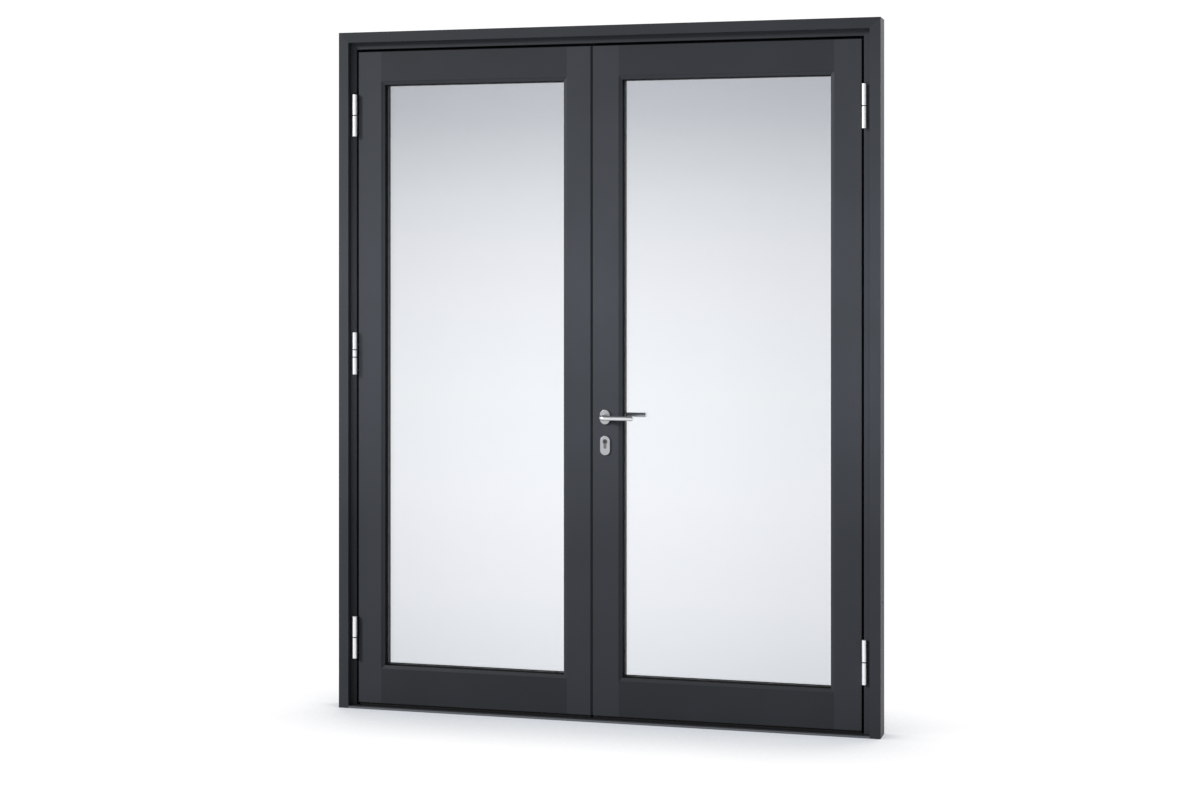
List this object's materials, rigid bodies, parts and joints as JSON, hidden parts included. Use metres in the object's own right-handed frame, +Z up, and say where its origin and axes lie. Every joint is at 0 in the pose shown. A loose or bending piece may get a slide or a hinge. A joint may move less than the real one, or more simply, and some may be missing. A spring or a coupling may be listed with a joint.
{
  "type": "double door",
  "caption": "Double-leaf glazed aluminium door in its frame: unequal hinged leaves, lever lock and flush bolts.",
  "frame": {"origin": "middle of the frame's underside, where it stands on the floor", "axes": "+X to the right seen from the side that the leaves open to, +Y to the back, away from that side, +Z up"},
  "size_m": [1.93, 0.202, 2.4],
  "materials": {
    "coated_aluminium": "dark anthracite matt powder coat",
    "threshold_aluminium": "grey anodised",
    "stainless": "satin stainless steel",
    "zinc_steel": "zinc plated steel",
    "mill_aluminium": "uncoated, as extruded",
    "nickel_brass": "satin nickel plated",
    "seal_rubber": "black, matt",
    "black_plastic": "black, matt",
    "float_glass": "clear float glass"
  },
  "bodies": {
    "frame": {"active_hinge_frame_knuckles": "stainless", "frame_corner_cleats": "mill_aluminium", "frame_screws": "zinc_steel", "frame_stop_seals": "seal_rubber", "head": "coated_aluminium", "head_keep_plate": "stainless", "hinge_pins": "zinc_steel", "jamb_left": "coated_aluminium", "jamb_right": "coated_aluminium", "passive_hinge_frame_knuckles": "stainless", "threshold": "threshold_aluminium", "threshold_seal": "seal_rubber", "threshold_socket": "black_plastic"},
    "passive_leaf": {"flush_bolt_cases": "stainless", "passive_bottom_brush": "black_plastic", "passive_bottom_rail": "coated_aluminium", "passive_corner_spigots": "mill_aluminium", "passive_glass_panes": "float_glass", "passive_glass_spacer": "black_plastic", "passive_glazing_beads": "coated_aluminium", "passive_glazing_seals": "seal_rubber", "passive_hinge_bushes": "black_plastic", "passive_hinge_leaf_knuckles": "stainless", "passive_hinge_stile": "coated_aluminium", "passive_meeting_seal": "seal_rubber", "passive_meeting_stile": "coated_aluminium", "passive_screws": "zinc_steel", "passive_setting_blocks": "black_plastic", "passive_top_rail": "coated_aluminium", "strike_plate": "stainless"},
    "active_leaf": {"active_bottom_brush": "black_plastic", "active_bottom_rail": "coated_aluminium", "active_corner_spigots": "mill_aluminium", "active_glass_panes": "float_glass", "active_glass_spacer": "black_plastic", "active_glazing_beads": "coated_aluminium", "active_glazing_seals": "seal_rubber", "active_hinge_bushes": "black_plastic", "active_hinge_leaf_knuckles": "stainless", "active_hinge_stile": "coated_aluminium", "active_meeting_seal": "seal_rubber", "active_meeting_stile": "coated_aluminium", "active_screws": "zinc_steel", "active_setting_blocks": "black_plastic", "active_top_rail": "coated_aluminium", "cylinder_body": "nickel_brass", "cylinder_escutcheons": "stainless", "lever_roses": "stainless", "lock_case": "zinc_steel", "lock_faceplate": "stainless"},
    "lever": {"lever_back": "stainless", "lever_front": "stainless", "lever_spindle": "zinc_steel", "lock_follower": "zinc_steel"},
    "latch": {"latch": "zinc_steel"},
    "deadbolt": {"deadbolt": "zinc_steel"},
    "key_core": {"cylinder_core": "nickel_brass"},
    "flush_bolt_top": {"flush_bolt_top": "zinc_steel"},
    "flush_bolt_bottom": {"flush_bolt_bottom": "zinc_steel"}
  },
  "joints": [
    {"name": "passive_leaf_swing", "type": "hinge", "parent": "frame", "child": "passive_leaf", "pos_m": [-0.909, -0.032, 1.26], "axis": [0, 0, -1], "range_deg": [0, 105]},
    {"name": "active_leaf_swing", "type": "hinge", "parent": "frame", "child": "active_leaf", "pos_m": [0.909, -0.032, 1.26], "axis": [0, 0, 1], "range_deg": [0, 105]},
    {"name": "lever_turn", "type": "hinge", "parent": "active_leaf", "child": "lever", "pos_m": [0.0115, 0.008, 1.051], "axis": [0, 1, 0], "range_deg": [0, 40], "stiffness_Nm_per_rad": 1.2, "springref_deg": -20.05},
    {"name": "latch_slide", "type": "slide", "parent": "active_leaf", "child": "latch", "axis": [1, 0, 0], "range_m": [0, 0.006]},
    {"name": "key_turn", "type": "hinge", "parent": "active_leaf", "child": "key_core", "pos_m": [0.0115, 0.008, 0.966], "axis": [0, 1, 0], "range_deg": [0, 360]},
    {"name": "deadbolt_slide", "type": "slide", "parent": "active_leaf", "child": "deadbolt", "axis": [-1, 0, 0], "range_m": [0, 0.02]},
    {"name": "flush_bolt_top_slide", "type": "slide", "parent": "passive_leaf", "child": "flush_bolt_top", "axis": [0, 0, 1], "range_m": [0, 0.017]},
    {"name": "flush_bolt_bottom_slide", "type": "slide", "parent": "passive_leaf", "child": "flush_bolt_bottom", "axis": [0, 0, -1], "range_m": [0, 0.017]}
  ],
  "couplings": [
    {"joint": "latch_slide", "follows": "lever_turn", "m_per_rad": 0.008594},
    {"joint": "deadbolt_slide", "follows": "key_turn", "m_per_rad": 0.003183}
  ]
}
